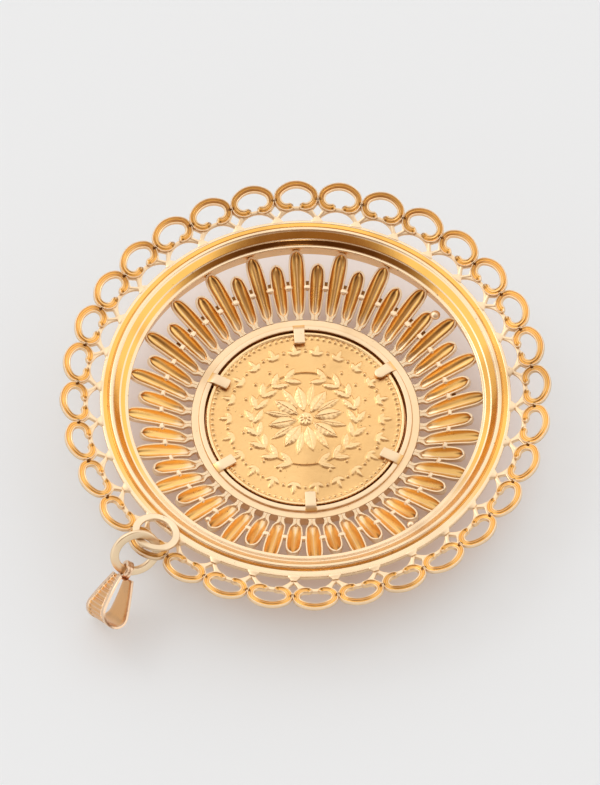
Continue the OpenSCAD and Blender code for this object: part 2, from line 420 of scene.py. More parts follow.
def relief(x, y, petals, sprigs):
    """Height of the whole design, from 0 to 1, at each point of the field."""
    r = np.hypot(x, y)
    angle = np.arctan2(y, x)
    h = np.zeros_like(x)
    near = np.round(angle / (2 * math.pi / BEADS)) * (2 * math.pi / BEADS)
    d = np.hypot(x - BEAD_RING * np.cos(near), y - BEAD_RING * np.sin(near))
    h = np.maximum(h, 0.8 * np.sqrt(np.clip(1 - (d / 0.2) ** 2, 0, 1)))
    for k in range(sprigs):
        a = 360.0 * k / sprigs
        stem = polar(SPRIG_RING, a)
        for lean, size in ((0, 1.5), (48, 1.0), (-48, 1.0)):
            h = np.maximum(h, 0.95 * leaf_height(x, y, stem, math.radians(a + lean), size, 0.56, 2))
        h = np.maximum(h, 0.9 * dot_height(x, y, polar(8.3, a + 180.0 / sprigs), 0.2))
    for side in (-1, 1):
        for k in range(9):
            a = -90 + side * (14 + 17.5 * k)
            root = polar(BRANCH_RING - 0.06 * k, a)
            for lean in (62, 122):
                turn = math.radians(a + side * lean)
                h = np.maximum(h, leaf_height(x, y, root, turn, 1.9, 0.8, 4))
            h = np.maximum(h, 0.9 * dot_height(x, y, polar(6.75, a + side * 9), 0.19))
        branch = np.abs(r - BRANCH_RING)
        on_branch = (side * np.cos(angle) > -0.1)
        h = np.maximum(h, 0.6 * np.clip(1 - branch / 0.12, 0, 1) * on_branch)
    for k in range(petals):
        a = 360.0 * k / petals + 12
        between = a + 180 / petals
        h = np.maximum(h, leaf_height(x, y, polar(0.9, a), math.radians(a), 3.1, 1.45, 6))
        under = leaf_height(x, y, polar(1.5, between), math.radians(between), 2.9, 0.9, 5)
        h = np.maximum(h, 0.75 * under)
    h = np.maximum(h, dot_height(x, y, (0, 0), 0.85) * (0.8 + 0.2 * np.cos(7 * r) * np.cos(8 * angle)))
    return h


line = np.linspace(0, COIN_R, 400)
raised = relief(line, np.zeros(400), 8, 22) > 0.1
print("along one radius,", round(100 * float(raised.mean())), "percent of the field is raised")

# %% [markdown]
# ## The coin's faces and edge
# The visible back has 106 rings of points and the hidden front 46, because nobody sees the front while the
# pendant lies down. Wear lowers the relief unevenly, and the field isn't quite flat. The tone is deep in the
# field and brown at the foot of steep slopes, where dirt stays. The edge is reeded.

# %% The coin
FACE_STEPS = 560
FIELD_R = 10.12
REED_STEPS = 4


def coin_face(petals, sprigs, up, rings):
    """Points and tones of one face, its raised edge included, on a fine round grid."""
    radii = np.concatenate([np.linspace(0.02, FIELD_R, rings), np.linspace(10.17, COIN_R - 0.05, 6)])
    angles = np.linspace(0, 2 * math.pi, FACE_STEPS, endpoint=False)
    r, a = np.meshgrid(radii, angles, indexing="ij")
    x, y = r * np.cos(a), r * np.sin(a)
    raised = relief(x, y, petals, sprigs)
    wear = 0.85 + 0.15 * np.sin(1.3 * x + 0.7) * np.cos(1.1 * y - 0.4)
    edge = np.clip((r - 10.08) / 0.12, 0, 1)
    field = 0.006 * np.sin(0.9 * x + 1.7 * y) * np.cos(1.3 * x - 0.6 * y)
    height = np.maximum(RELIEF * wear * raised + field * (1 - edge), RELIEF * edge)
    steep = np.hypot(np.gradient(height, axis=0) / 0.09, np.gradient(height, axis=1) / (0.0105 * r + 0.01))
    low = 1 - np.clip(height / RELIEF, 0.0, 1.0)
    depths = 0.75 * low + np.clip(steep - 0.25, 0.0, 1.2) * low
    level = COIN_T - RELIEF if up else RELIEF
    z = COIN_FRONT + (level + height if up else level - height)
    return np.stack([x, y, z], axis=-1), depths


def coin_part():
    """Back face, reeded edge and front face in one skin."""
    back, back_depth = coin_face(8, 22, True, 106)
    front, front_depth = coin_face(12, 24, False, 46)
    angles = np.linspace(0, 2 * math.pi, FACE_STEPS, endpoint=False)
    r = COIN_R - 0.02 * (np.arange(FACE_STEPS) % REED_STEPS < REED_STEPS / 2)
    side = []
    for z in (COIN_FRONT + COIN_T - 0.05, COIN_FRONT + 0.05):
        side.append(np.stack([r * np.cos(angles), r * np.sin(angles), np.full(FACE_STEPS, z)], axis=-1))
    rows = np.concatenate([back, np.array(side), front[::-1]])
    depths = np.concatenate([back_depth, np.full((2, FACE_STEPS), 0.25), front_depth[::-1]])
    return swept(rows, depths)


make_piece("coin_struck", coin_part(), "coin", "coin_gold", coin_gold, sharp=60.0, merge=False)

# %% [markdown]
# ## The bezel
# The bezel is a turned ring with a pale raised lip, a step down and a flat ledge. A Screw modifier could turn
# its outline too. Here the outline is carried round in rows, with small rounds at its corners that catch thin
# highlights, and the tone can change from band to band.

# %% Turned rings with rounded corners
def wobble(angle, seed, size):
    """A slow uneven ripple round the axis, as hand work has, between plus and minus size."""
    waves = [(2, 0.5), (3, 0.3), (5, 0.2), (9, 0.12)]
    return size * sum(w * np.sin(k * angle + seed * (k + 1.3)) for k, w in waves)


def rounded(outline, radius, steps=3):
    """Rounds each corner of a closed outline with a short curve."""
    points = np.asarray(outline, float)
    out = []
    for i in range(len(points)):
        before, here, after = points[i - 1], points[i], points[(i + 1) % len(points)]
        to_before, to_after = before - here, after - here
        reach = min(radius, 0.45 * np.linalg.norm(to_before), 0.45 * np.linalg.norm(to_after))
        start = here + to_before / np.linalg.norm(to_before) * reach
        end = here + to_after / np.linalg.norm(to_after) * reach
        for k in range(steps + 1):
            t = k / steps
            out.append((1 - t) ** 2 * start + 2 * t * (1 - t) * here + t ** 2 * end)
    return np.array(out)


def lathe(outline, depth_of, count=256, seed=0.0, uneven=0.0):
    """Carries a closed outline of (radius, height) round the axis."""
    rows, depths = [], []
    for a in np.linspace(0, 2 * math.pi, count, endpoint=False):
        r = outline[:, 0] + wobble(a, seed, uneven)
        z = outline[:, 1] + wobble(a, seed + 2.0, uneven)
        rows.append(np.stack([r * math.cos(a), r * math.sin(a), z], axis=-1))
        depths.append([depth_of(r, z, a) for r, z in outline])
    return swept(np.array(rows), np.array(depths), closed=True)


BEZEL_IN = 10.74
BEZEL_LIP = 11.28
BEZEL_OUT = 12.1
bezel_outline = [(9.9, 0.02), (9.95, 0.0), (11.6, 0.0), (BEZEL_OUT, 0.35), (BEZEL_OUT, BACK_Z - 0.1),
                 (BEZEL_LIP + 0.06, BACK_Z - 0.17), (BEZEL_LIP, BACK_Z + 0.1),
                 (BEZEL_IN, BACK_Z + 0.1), (BEZEL_IN, 0.5), (9.9, 0.4)]


def bezel_depth(r, z, a):
    """Pale on the lip, deep on the wall inside it."""
    if z > BACK_Z + 0.05:
        return 0.05
    return 0.75 if r < BEZEL_IN + 0.05 and z > 0.5 else 0.3


bezel = lathe(rounded(bezel_outline, 0.07), bezel_depth)
print("bezel skin:", len(bezel[0]), "points")

# %% [markdown]
# ## The claws
# Six short claws were cut from the lip and bent over the coin. One has a round end and the others are square.
# Each is a bar swept inward from the lip: its root bends down over the lip, where a deeper tone paints its
# shade, its long edges are rounded, and its tip is pressed a little lower.

# %% Claws pressed over the coin
ROUND_CLAW = 34.3
CLAW_ANGLES = [93.9, ROUND_CLAW, -27.3, -86.9, -146.5, 154.3]
CLAW_IN = 9.0
CLAW_W = 1.17
CLAW_T = 0.26
CLAW_STATIONS = [CLAW_IN, CLAW_IN + 0.03, CLAW_IN + 0.09, *np.linspace(CLAW_IN + 0.2, 10.72, 7),
                 10.8, 10.9, 11.1, 11.3]


def claw(angle, round_end):
    """A short bar from the lip inward, its edges rounded, its tip pressed down."""
    rows, depths = [], []
    for x in CLAW_STATIONS:
        end = np.clip((x - CLAW_IN) / (0.55 if round_end else 0.12), 0, 1)
        half = CLAW_W / 2 * (math.sqrt(1 - (1 - end) ** 2) if end < 1 else 1.0) + 0.02
        root = np.clip((x - 10.75) / 0.5, 0, 1)
        half = min(half, CLAW_W / 2) * (1 + 0.1 * root)
        press = 0.05 * (1 - np.clip((x - CLAW_IN) / 1.2, 0, 1))
        top = BACK_Z + 0.04 + CLAW_T - press - 0.17 * root
        low = BACK_Z + 0.035
        ring = rounded([(-half, low), (half, low), (half, top), (-half, top)], 0.07)
        rows.append(np.stack([np.full(len(ring), x), ring[:, 0], ring[:, 1]], axis=-1))
        # The deeper tone at the root is painted shade.
        depths.append(np.full(len(ring), 0.1 + 0.7 * root))
    points, faces, depth = swept(np.array(rows), np.array(depths))
    return turned(points, math.radians(angle)), faces, depth


claws = [claw(a, a == ROUND_CLAW) for a in CLAW_ANGLES]
make_piece("claw_bezel_turned", joined([bezel] + claws), "claw_bezel", "satin_gold", satin_gold)

# %% [markdown]
# ## The line of the sunburst
# Each ray is a petal shaped like a narrow boat: a foot on the bezel, a body that widens, pale filed edges and
# a deep hollow. All petals rise along the same curve to the rim ring. The curve is an arc that blends into
# the flat foot with a smooth step, so no corner shows where they meet.

# %% The line that the petals follow
ARC_CENTRE = (22.41, -9.66)
ARC_R = 14.85
FOOT_R = BEZEL_OUT + 0.03
SHORT_R = 17.64
LONG_R = 19.02
PETAL_PAIRS = 24
LONG_PHASE = 3.17


def rim_height(r):
    """Height of the petals' edges at radius r."""
    arc = ARC_CENTRE[1] + math.sqrt(ARC_R ** 2 - (ARC_CENTRE[0] - r) ** 2)
    foot = BACK_Z - 0.09
    blend = min(max((r - 12.7) / 0.8, 0.0), 1.0)
    blend = blend * blend * (3 - 2 * blend)
    return foot * (1 - blend) + arc * blend


def rim_slope(r):
    """Slope of that line at radius r."""
    return math.atan2(rim_height(r + 0.05) - rim_height(r - 0.05), 0.1)


print("the petals rise", round(rim_height(LONG_R) - rim_height(FOOT_R), 2), "mm from foot to tip")

# %% [markdown]
# ## Widths and tones of a petal
# A petal's outline could be a curve object, but two short functions are easier to change: half the width of
# the petal, and half the width of its hollow, for each radius. A third gives the tone across the hollow:
# deep on both walls, paler along the floor as a painted highlight, and browner on the walls of the outer
# part as painted shade.

# %% How wide and how deep in tone
FOOT_PLACES = [FOOT_R, 12.4, 12.75, 13.0, 13.3]
FOOT_HALVES = [0.42, 0.34, 0.42, 0.59, 0.69]
WIDEST_AND_HALF = {LONG_R: (16.0, 0.9), SHORT_R: (15.2, 0.86)}
HOLLOW_FROM = 12.8
EDGE_W = 0.2


def outer_half(r, tip):
    """Half the petal's width at radius r: a thin foot, a full body and a long oval tip."""
    widest, full = WIDEST_AND_HALF[tip]
    foot_end, foot_half = FOOT_PLACES[-1], FOOT_HALVES[-1]
    if r < foot_end:
        return float(np.interp(r, FOOT_PLACES, FOOT_HALVES))
    if r < widest:
        t = (r - foot_end) / (widest - foot_end)
        return foot_half + (full - foot_half) * math.sin(t * math.pi / 2)
    into = (r - widest) / (tip - widest)
    return full * math.sqrt(max(1 - into ** 4.2, 0.0))


def inner_half(r, tip):
    """Half the hollow's width: the outline moved in by the thickness of the edge."""
    stop = tip - EDGE_W
    if r <= HOLLOW_FROM or r >= stop:
        return 0.0
    heel = min((r - HOLLOW_FROM) / 0.45, 1.0)
    nose = min((stop - r) / 0.5, 1.0)
    width = max(outer_half(r, tip) - EDGE_W, 0.0)
    return width * math.sqrt(1 - (1 - heel) ** 2) * (1 - (1 - nose) ** 2) ** 0.34


def hollow_tone(phi, outward):
    """Deep walls of a hollow, a painted highlight along its floor, and paler next to its edge."""
    from_floor = abs(phi - math.pi / 2)
    tone = 1.0 - 0.6 * math.exp(-(from_floor / 0.14) ** 2) - 0.5 * math.exp(-(math.sin(phi) / 0.2) ** 2)
    # The walls of the outer part turn browner: painted shade from the rim ring above them.
    return tone + 0.45 * outward * math.exp(-((from_floor - 0.55) / 0.3) ** 2)


print("a long petal is", round(2 * outer_half(16.0, LONG_R), 2), "mm wide, its hollow",
      round(2 * inner_half(16.0, LONG_R), 2), "mm")

# %% [markdown]
# ## One petal
# The section of a petal is a closed line: round under the body, flat along one filed edge, down through the
# hollow, and flat along the other edge. It is set up at 40 places from foot to tip, closer together at both
# ends, and tilted with the slope of the line. The hollow is deepest near its middle and shallow at both ends.

# %% A petal swept from foot to tip
EDGE_DOWN = 0.06
EDGE_TONE = -0.3


def petal_section(r, tip):
    """Across, down and tone for each point of the section at radius r."""
    wide, hole = outer_half(r, tip), inner_half(r, tip)
    body = (0.9 if r > 13.2 else 0.8) * (0.45 + 0.55 * min(wide / 0.6, 1.0))
    along = min(max((r - HOLLOW_FROM) / (tip - 13.0), 0.0), 1.0)
    dip = 0.68 * min(hole / 0.5, 1.0) ** 0.7 * (0.3 + 0.7 * math.sin(math.pi * along ** 0.85) ** 0.8)
    outward = min(max((r - 14.0) / 3.0, 0.0), 1.0)
    # Browner near the tip as painted shade, paler at the heel as a painted highlight.
    end_tone = 0.3 * math.exp(-((tip - 0.25 - r) / 0.9) ** 2) - 0.5 * math.exp(-((r - 13.1) / 0.7) ** 2)
    edge = min(0.035, wide * 0.2)
    line = []
    for phi in np.linspace(0, math.pi, 11):
        across = wide * math.copysign(abs(math.cos(phi)) ** 0.55, math.cos(phi))
        line.append((across, -EDGE_DOWN - (body - EDGE_DOWN) * math.sin(phi) ** 0.8, 0.1))
    line += [(-wide + edge, -0.01, EDGE_TONE), (-hole - edge, 0.0, EDGE_TONE)]
    for phi in np.linspace(math.pi, 0, 21):
        tone = hollow_tone(phi, outward) + end_tone if hole > 0.1 else 0.0
        line.append((hole * math.cos(phi), -EDGE_DOWN - dip * math.sin(phi), tone))
    line += [(hole + edge, 0.0, EDGE_TONE), (wide - edge, -0.01, EDGE_TONE)]
    return np.array(line).T


def petal(tip):
    """One petal along X, from its foot to its tip."""
    ends = 1 - np.cos(np.linspace(0, math.pi, 40))
    rows, depths = [], []
    for r in FOOT_R + (tip - 0.004 - FOOT_R) * ends / 2:
        across, down, depth = petal_section(r, tip)
        slope = rim_slope(r)
        out = np.minimum(r - down * math.sin(slope) * np.clip((r - 12.6) / 1.0, 0, 1), LONG_R)
        rows.append(np.stack([out, across, rim_height(r) + down * math.cos(slope)], axis=-1))
        depths.append(depth)
    return swept(np.array(rows), np.array(depths))


step = 360.0 / PETAL_PAIRS
long_petals = repeated(petal(LONG_R), [LONG_PHASE + step * k for k in range(PETAL_PAIRS)])
short_petals = repeated(petal(SHORT_R), [LONG_PHASE + step * (k + 0.5) for k in range(PETAL_PAIRS)])
print("petals:", 2 * PETAL_PAIRS, "with", len(long_petals[0]) + len(short_petals[0]), "points")

# %% [markdown]
# ## Bars and solder between the petals
# Small bars tie each petal to the next. A bar is a block with rounded edges, lower than the petals' edges.
# Behind the bars of the far side lies a small dark block, its brown tone painted shade. Solder left lumps on
# some bars and larger drops at three petal tips. A drop is a flattened ball of rows, so that it needs no
# other kind of mesh.

# %% The sunburst in one mesh
def block(r0, r1, half, z0, z1, depth=0.1, corner=0.06):
    """A small bar along the radius with rounded long edges."""
    rows = []
    for r in (r0, r0 + corner, r1 - corner, r1):
        inset = corner if r in (r0, r1) else 0.0
        ring = rounded([(-half, z0), (half, z0), (half, z1 - inset), (-half, z1 - inset)], corner)
        rows.append(np.stack([np.full(len(ring), r), ring[:, 0], ring[:, 1]], axis=-1))
    return one_tone(rows, depth)


def solder(place, radius, flatness=0.6, rings=7, count=12, tone=0.1):
    """A small flattened drop of solder."""
    a = np.linspace(0, 2 * math.pi, count, endpoint=False)
    rows = []
    for t in np.linspace(0.05, math.pi - 0.05, rings):
        high = np.full(count, math.cos(t) * flatness)
        row = np.stack([np.cos(a) * math.sin(t), np.sin(a) * math.sin(t), high], -1)
        rows.append(row * radius + np.asarray(place))
    return one_tone(rows, tone)


BAR_R = 15.5
BAR_HALF = 0.34
STAINED = 2.2
TIP_DROPS = [(17.75, 39.0, 0.55), (18.0, -52.4, 0.42), (16.9, -127.0, 0.36)]
bar_top = rim_height(BAR_R) - 0.05
bar = block(BAR_R - 0.5, BAR_R + 0.02, BAR_HALF, bar_top - 0.5, bar_top, corner=0.1)
bar_places = [LONG_PHASE + step * (k / 2 + 0.25) for k in range(2 * PETAL_PAIRS)]
# Blocks behind the far-side bars carry a painted shade tone, so they read as shadow.
stained_places = [a for a in bar_places if 30 < a < 150 or a < 10]
shelf = block(BAR_R - 0.03, BAR_R + 0.55, BAR_HALF, bar_top - 0.6, bar_top - 0.12, STAINED)
points, faces, depths = solder((BAR_R - 0.2, 0.0, bar_top - 0.18), 0.34, 0.55, tone=0.2)
lump = (points * [1.0, 1.35, 1.0], faces, depths)
bars = joined([repeated(bar, bar_places), repeated(shelf, stained_places), repeated(lump, bar_places[::3]),
               repeated(lump, bar_places[1::4])])
drops = [solder((*polar(r, degrees), rim_height(r) - 0.08), size, 0.7, rings=11, count=20)
         for r, degrees, size in TIP_DROPS]
make_piece("sunburst_petals", joined([long_petals, short_petals, bars] + drops), "sunburst", "deep_gold",
           petal_gold, sharp=42)

# %% [markdown]
# ## The rim ring
# The rim is one turned ring: a thin lip over the petal tips, a hollow cove, a fine line, a sloping wall, a
# ridge, a dark groove and a flat flange that carries the border. It comes from the same lathe as the bezel.
# The ring is very slightly uneven, so that its long reflections break up as they do on hand-finished gold.
# Its bands are painted paler at the near side and deeper at the far side, as painted shade and reflection.

# %% Stepped rim
rim_outline = [(18.66, 5.76), (18.74, 5.8), (18.9, 5.81), (19.0, 5.84), (19.42, 6.1), (19.5, 6.14),
               (19.56, 6.15), (19.62, 6.19), (20.12, 6.7), (20.3, 6.9), (20.6, 6.88), (20.68, 6.72),
               (20.74, 6.5), (20.84, 6.5), (20.88, 6.55), (21.28, 6.56), (21.33, 6.58), (21.6, 6.56),
               (21.64, 6.48), (21.64, 6.02), (20.75, 5.7), (20.2, 4.9), (20.0, 3.92), (19.07, 3.77),
               (19.07, 5.4), (18.66, 5.57)]


def rim_depth(r, z, a):
    """Band tones: painted shade deep at the far side, paler at the near side; dark in the groove."""
    # Away from the near side the bands take a deeper tone, which paints shade and dark reflection.
    worn = min(max((math.sin(a) + 0.8) / 0.5, 0.0), 1.0)
    if 20.69 < r < 20.87 and 6.3 < z < 6.6:
        return 1.35
    if 20.87 < r < 21.3 and z > 6.4:
        return 0.2 + 0.7 * worn
    # In the cove a brown tone toward the far side paints a dark reflection.
    if 19.0 < r < 19.44 and z > 5.8:
        return 0.1 + 0.8 * worn + 0.85 * max(0.0, math.sin(a)) ** 3
    if 19.6 < r < 20.15 and z > 6.1:
        return 0.1 + 0.8 * worn
    return 0.05 if z > 5.7 else 0.4


rim_part = lathe(rounded(rim_outline, 0.06), rim_depth, 320, 1.0, 0.018)
make_piece("rim_ring_turned", rim_part, "rim_ring", "satin_gold", rim_gold)

# %% [markdown]
# ## The scroll border
# Each scroll is a strip bent into a C whose ends curl in toward the mouth. The centre line is three arcs that
# share their tangents, so the strip has no corner. Its section has pale filed edges and a thin ridge between
# two deep grooves. The border could be drawn as curves with a bevel, but a bevel can't change its section,
# and here the grooves close and the strip narrows just before each end.

# %% The line and the section of a scroll
SCROLLS = 32
SCROLL_PHASE = 2.5
SCROLL_W = 0.72
INWARD = 1.16
BORDER_R = 24.08
BORDER_Z = 7.05
BORDER_RISE = math.radians(16.0)
BORDER_T = 0.5
SIDE_R = 1.0
SIDE_X = 1.02
TOP_DROP = 1.159
TOP_R = math.hypot(SIDE_X, TOP_DROP) + SIDE_R
TOP_ANGLE = math.atan2(TOP_DROP, SIDE_X)
CURL_ANGLE = math.radians(131.0)


def scroll_path(count=76):
    """Points and directions along the centre line, from one curled end to the other."""
    right = np.linspace(-CURL_ANGLE, TOP_ANGLE, count // 2)
    top = np.linspace(TOP_ANGLE, math.pi - TOP_ANGLE, count // 3)[1:-1]
    pieces = [[(SIDE_X + SIDE_R * math.cos(a), SIDE_R * math.sin(a), a) for a in right],
              [(TOP_R * math.cos(a), TOP_R * math.sin(a) - TOP_DROP, a) for a in top],
              [(-SIDE_X - SIDE_R * math.cos(a), SIDE_R * math.sin(a), math.pi - a) for a in right[::-1]]]
    return np.array([point for piece in pieces for point in piece])


def channel_section(half):
    """Points across a strip: flat underside, pale rounded edges, a thin ridge between two grooves."""
    low = -BORDER_T
    return [(-half, low + 0.1, 0.3), (-half, -0.10, 0.35), (-half + 0.03, -0.03, 0.0),
            (-half + 0.08, 0.0, -0.25), (-half + 0.13, -0.03, 0.25), (-half + 0.17, -0.08, 0.9),
            (-0.13, -0.08, 0.9), (-0.09, -0.04, 0.55), (-0.05, -0.04, 0.55), (-0.01, -0.10, 0.9),
            (0.07, -0.15, 1.0), (0.14, -0.15, 1.0), (half - 0.14, -0.10, 0.85), (half - 0.11, -0.02, -0.1),
            (half - 0.05, 0.0, -0.25), (half, -0.07, 0.0), (half, low + 0.1, 0.3), (half - 0.1, low, 0.4),
            (-half + 0.1, low, 0.4)]


print("points along a scroll:", len(scroll_path()), "and across it:", len(channel_section(SCROLL_W / 2)))

# %% [markdown]
# ## Bending one scroll
# The section is carried along the centre line, always square to it. The border rises outward like a dish, so
# the flat scroll is tilted afterwards. It was also fitted by hand: its plane lifts a little on the far side,
# and it stays down beside the two rings.

# %% One scroll on the rising border
RINGS_SIDE = -132.2
CAP_LENGTH = 0.34


def lift(angle):
    """The border bends up a little from its plane at the edge, except beside the rings."""
    away = abs((angle - RINGS_SIDE + 180) % 360 - 180)
    return (0.4 + 0.24 * math.sin(math.radians(angle))) * min(max((away - 14) / 16, 0.0), 1.0)


def tilted(points):
    """Puts flat points (x along the edge, y outward, z up) on the rising border at angle 0."""
    c, s = math.cos(BORDER_RISE), math.sin(BORDER_RISE)
    out, along, up = points[..., 1], -points[..., 0], points[..., 2]
    return np.stack([out * c - up * s + BORDER_R, along, out * s + up * c + BORDER_Z], axis=-1)


def scroll():
    """One scroll at angle 0, with grooves that close toward its curled ends."""
    path = scroll_path()
    steps = np.hypot(*np.diff(path[:, :2], axis=0).T)
    run = np.concatenate([[0.0], np.cumsum(steps)])
    rows, depths = [], []
    for (x, y, a), s in zip(path, run):
        end = min(s, run[-1] - s)
        cap = math.sqrt(1 - (1 - min(end / CAP_LENGTH, 1.0)) ** 2) * 0.95 + 0.05
        section = channel_section(SCROLL_W / 2)
        fade = min(max((end - 0.1) / 0.15, 0.0), 1.0)
        pit = 0.7 * max(0.0, 1 - abs(end - 0.4) / 0.22)
        row, depth = [], []
        for wide, high, tone in section:
            high = high * fade if high > -0.2 and tone > 0.5 else high
            wide = wide * cap if wide > 0 else wide * cap * INWARD
            row.append([x + math.cos(a) * wide, y + math.sin(a) * wide, high])
            depth.append(tone * fade + pit if tone > 0.5 else tone)
        rows.append(row)
        depths.append(depth)
    points, faces, depth = swept(np.array(rows), np.array(depths))
    return tilted(points), faces, depth


scroll_part = scroll()
print("one scroll:", len(scroll_part[0]), "points; lift at the far side", round(lift(90.0), 2), "mm")

# %% [markdown]
# ## Arches under the scrolls
# A low arch spans the mouth of each scroll and carries it on the flange. It is an arc of bar with rounded
# edges. Arches lie nearly level, so a small function takes away most of the border's rise under them.

# %% Arches under the scrolls
ARCH_Y = -3.52
ARCH_R = 2.43
ARCH_W = 0.44


def flatten(y):
    """Arches and links lie nearly level on the flange while the scrolls rise."""
    return (y + 1.9) * math.tan(BORDER_RISE) * 0.8


def arch():
    """One arch at angle 0, from the flange up under the scroll and down again."""
    low = math.asin((-2.36 - ARCH_Y) / ARCH_R)
    half = ARCH_W / 2
    ring = rounded([(-half, -0.46), (half, -0.46), (half, -0.1), (-half, -0.1)], 0.09)
    rows = []
    for a in np.linspace(low, math.pi - low, 30):
        r = ARCH_R + ring[:, 0]
        y = ARCH_Y + r * math.sin(a)
        rows.append(np.stack([r * math.cos(a), y, ring[:, 1] - flatten(y)], axis=-1))
    points, faces, depth = one_tone(rows, 0.15)
    return tilted(points), faces, depth


arch_part = arch()
print("one arch:", len(arch_part[0]), "points,", ARCH_W, "mm wide")

# %% [markdown]
# ## Diamond links and their feet
# Where two scrolls touch, a flat diamond frame with a small hole ties them to the flange, and a foot widens
# from it onto the flange. The frame is a closed loop of sections: the distance from its middle follows the
# straight sides of a diamond. It could be cut with a boolean, but a swept loop keeps its edges rounded.

# %% Diamond links between the scrolls
LINK_Y = -1.32
LINK_OUTER = (0.92, 1.22)
LINK_HOLE = (0.5, 0.66)
FOOT_STEPS = [(21.45, 0.6), (21.5, 0.66), (21.68, 0.6), (21.85, 0.42), (22.0, 0.33), (22.05, 0.3)]


def diamond(angle, half_sizes):
    """Distance from the middle of a diamond to its side, at an angle."""
    return 1 / (abs(math.cos(angle)) / half_sizes[0] + abs(math.sin(angle)) / half_sizes[1])


def link():
    """A flat diamond frame with a small hole, from the touching point down to the flange."""
    rows = []
    for a in np.linspace(0, 2 * math.pi, 28, endpoint=False):
        inner, outer = diamond(a, LINK_HOLE), diamond(a, LINK_OUTER)
        ring = rounded([(inner, -0.48), (outer, -0.48), (outer, -0.07), (inner, -0.07)], 0.1, 2)
        y = LINK_Y + ring[:, 0] * math.sin(a)
        rows.append(np.stack([ring[:, 0] * math.cos(a), y, ring[:, 1] - flatten(y)], axis=-1))
    points, faces, depth = one_tone(rows, 0.06, closed=True)
    return tilted(points), faces, depth


def foot():
    """A flat foot that widens from the link to the flange."""
    rows = []
    for r, half in FOOT_STEPS:
        ring = rounded([(-half, 6.15), (half, 6.15), (half, 6.6), (-half, 6.6)], 0.09, 2)
        rows.append(np.stack([np.full(len(ring), r), ring[:, 0], ring[:, 1]], axis=-1))
    return one_tone(rows, 0.05)


link_part = link()
print("one link:", len(link_part[0]), "points; its foot reaches in to", FOOT_STEPS[0][0], "mm")

# %% [markdown]
# ## The whole border
# One scroll, arch, link, foot and drop of solder are copied to their angles, each with its own lift, and
# joined into one mesh. The drop where two scrolls touch has a brown tone, as flux stains do.

# %% The border in one mesh
CONTACT = (24.05, 0.0, 6.84)
pitch = 360.0 / SCROLLS
centres = [SCROLL_PHASE + pitch * k for k in range(SCROLLS)]
contacts = [a + pitch / 2 for a in centres]
contact_drop = solder(CONTACT, 0.3, 0.5, tone=1.7)
all_parts = [(scroll_part, centres), (arch_part, centres), (link_part, contacts), (contact_drop, contacts),
             (foot(), contacts)]
border_part = joined([repeated(part, places, lift) for part, places in all_parts])
make_piece("scroll_border_bent", border_part, "scroll_border", "satin_gold", border_gold, sharp=45)

# %% [markdown]
# ## The fixed ring
# The fixed ring is flat, like a washer. It lies tilted over one scroll and stands on two drops of solder. A
# torus would be too round, so a rounded oblong is swept in a circle. The ring keeps the exact centre, tilt
# and turn of the solid, and one function places it so that the next two pieces can use it as well.

# %% The fixed ring and how to place it
def placed(points, centre, degrees):
    """Turns points about X, then Y, then Z, and moves them to the centre."""
    ax, ay, az = (math.radians(d) for d in degrees)
    turn = Matrix.Rotation(az, 3, "Z") @ Matrix.Rotation(ay, 3, "Y") @ Matrix.Rotation(ax, 3, "X")
    return points @ np.array(turn).T + np.asarray(centre)


def ring_band(radius, outline, count=96):
    """A closed ring about Z; the outline gives steps outward and up from its circle."""
    rows = []
    for a in np.linspace(0, 2 * math.pi, count, endpoint=False):
        r = radius + outline[:, 0]
        rows.append(np.stack([r * math.cos(a), r * math.sin(a), outline[:, 1]], axis=-1))
    return one_tone(rows, 0.08, closed=True)


FIXED_AT = (-15.46, -17.03, 7.75)
FIXED_R = 2.115
FIXED_TILT = 17.0
band_outline = rounded([(-0.38, -0.17), (0.38, -0.17), (0.38, 0.17), (-0.38, 0.17)], 0.11)
feet = [solder((-2.08, 0.0, -0.33), 0.29, 0.9), solder((2.08, 0.0, -0.5), 0.29, 1.2)]
points, faces, depths = joined([ring_band(FIXED_R, band_outline)] + feet)
points = placed(points, FIXED_AT, (0, -FIXED_TILT, RINGS_SIDE))
make_piece("fixed_ring_band", (points, faces, depths), "fixed_ring", "ring_gold", ring_gold)

# %% [markdown]
# ## The jump ring
# The jump ring passes through the fixed ring and the eye of the bail. It is thicker and has rounder edges,
# and the same sweep makes it. Its centre and its two angles were chosen for the solids, so that it joins the
# two others without cutting into either.

# %% The jump ring
JUMP_AT = (-17.572, -19.028, 7.088)
JUMP_R = 2.267
JUMP_TILT = 90 - 25.13
JUMP_TURN = -68.64
jump_outline = rounded([(-0.45, -0.25), (0.45, -0.25), (0.45, 0.25), (-0.45, 0.25)], 0.17, 4)
points, faces, depths = ring_band(JUMP_R, jump_outline)
points = placed(points, JUMP_AT, (0, JUMP_TILT, JUMP_TURN))
make_piece("jump_ring_wire", (points, faces, depths), "jump_ring", "ring_gold", ring_gold)

# %% [markdown]
# ## The bail's strip and its relief
# The bail is a flat strip folded in half, wide at the fold and narrow at the eye. Its side view is one line:
# a leg that bows a little, an arc, and the same leg below. Plain borders run along both edges, then a groove,
# a thin ridge and a sunk field with crossbars. The relief is a depth for each point, as in a bump, but here
# the mesh really moves, because the bars catch the light from the side.

# %% The side view and the relief of the bail
BAIL_AT = (-18.564, -20.241, 5.449)
BAIL_TURN = (34.12, -26.74, 61.97)
FOLD_R = 1.456
FOLD_X = -4.461
TIP_X = 0.75
BAIL_W = 6.94
TIP_W = 1.5
EYE_R = 0.62
BAIL_WALL = 0.3
BORDER_END, GROOVE_END, RIDGE_END = 0.72, 0.9, 1.02
BAR_STEP = 0.46
LOW_X = FOLD_X - FOLD_R
TAPER = (BAIL_W - TIP_W) / (TIP_X - LOW_X) / 2
EYE_W = TIP_W / 2 + TAPER * TIP_X


